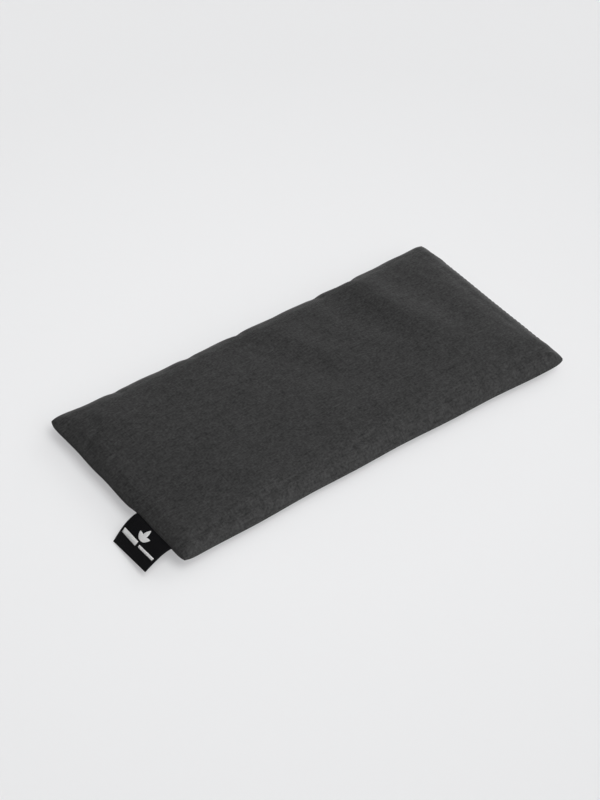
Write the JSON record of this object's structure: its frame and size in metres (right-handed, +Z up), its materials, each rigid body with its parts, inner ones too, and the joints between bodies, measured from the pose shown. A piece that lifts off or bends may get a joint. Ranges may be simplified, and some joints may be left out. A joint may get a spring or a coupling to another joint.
{
  "type": "eye pillow",
  "caption": "Flat rectangular seed-filled eye pillow: sewn cotton cover, inner pouch of flaxseed and lavender, and a folded ribbon side label.",
  "frame": {"origin": "centre of the flat resting face, under the middle of the pillow's outline without its label", "axes": "+X along the pillow's length, away from the side label and towards the closing stitch; +Y across the pillow; +Z up"},
  "size_m": [0.2437, 0.115, 0.017],
  "materials": {
    "cover_cloth": "matt plain-weave cotton, charcoal",
    "thread": "matt polyester sewing thread, charcoal",
    "pouch_cloth": "undyed cotton lawn",
    "pouch_thread": "undyed sewing thread",
    "flaxseed": "glossy brown seed",
    "lavender": "dry matt bud",
    "label_ribbon": "black woven satin ribbon",
    "label_mark": "white woven thread"
  },
  "bodies": {
    "cover": {"cover_top_panel": "cover_cloth", "cover_bottom_panel": "cover_cloth", "cover_seam_needle_thread": "thread", "cover_seam_bobbin_thread": "thread", "closing_needle_thread": "thread", "closing_bobbin_thread": "thread", "pouch_top_panel": "pouch_cloth", "pouch_bottom_panel": "pouch_cloth", "pouch_seam_needle_thread": "pouch_thread", "pouch_seam_bobbin_thread": "pouch_thread", "flaxseed_fill": "flaxseed", "lavender_buds": "lavender", "label_sewn_ends": "label_ribbon"},
    "label": {"side_label": "label_ribbon", "label_mark": "label_mark"}
  },
  "joints": [
    {"name": "label_hinge", "type": "hinge", "parent": "cover", "child": "label", "pos_m": [-0.1157, 0, 0.0085], "axis": [0, 1, 0], "range_deg": [0, 120]}
  ]
}
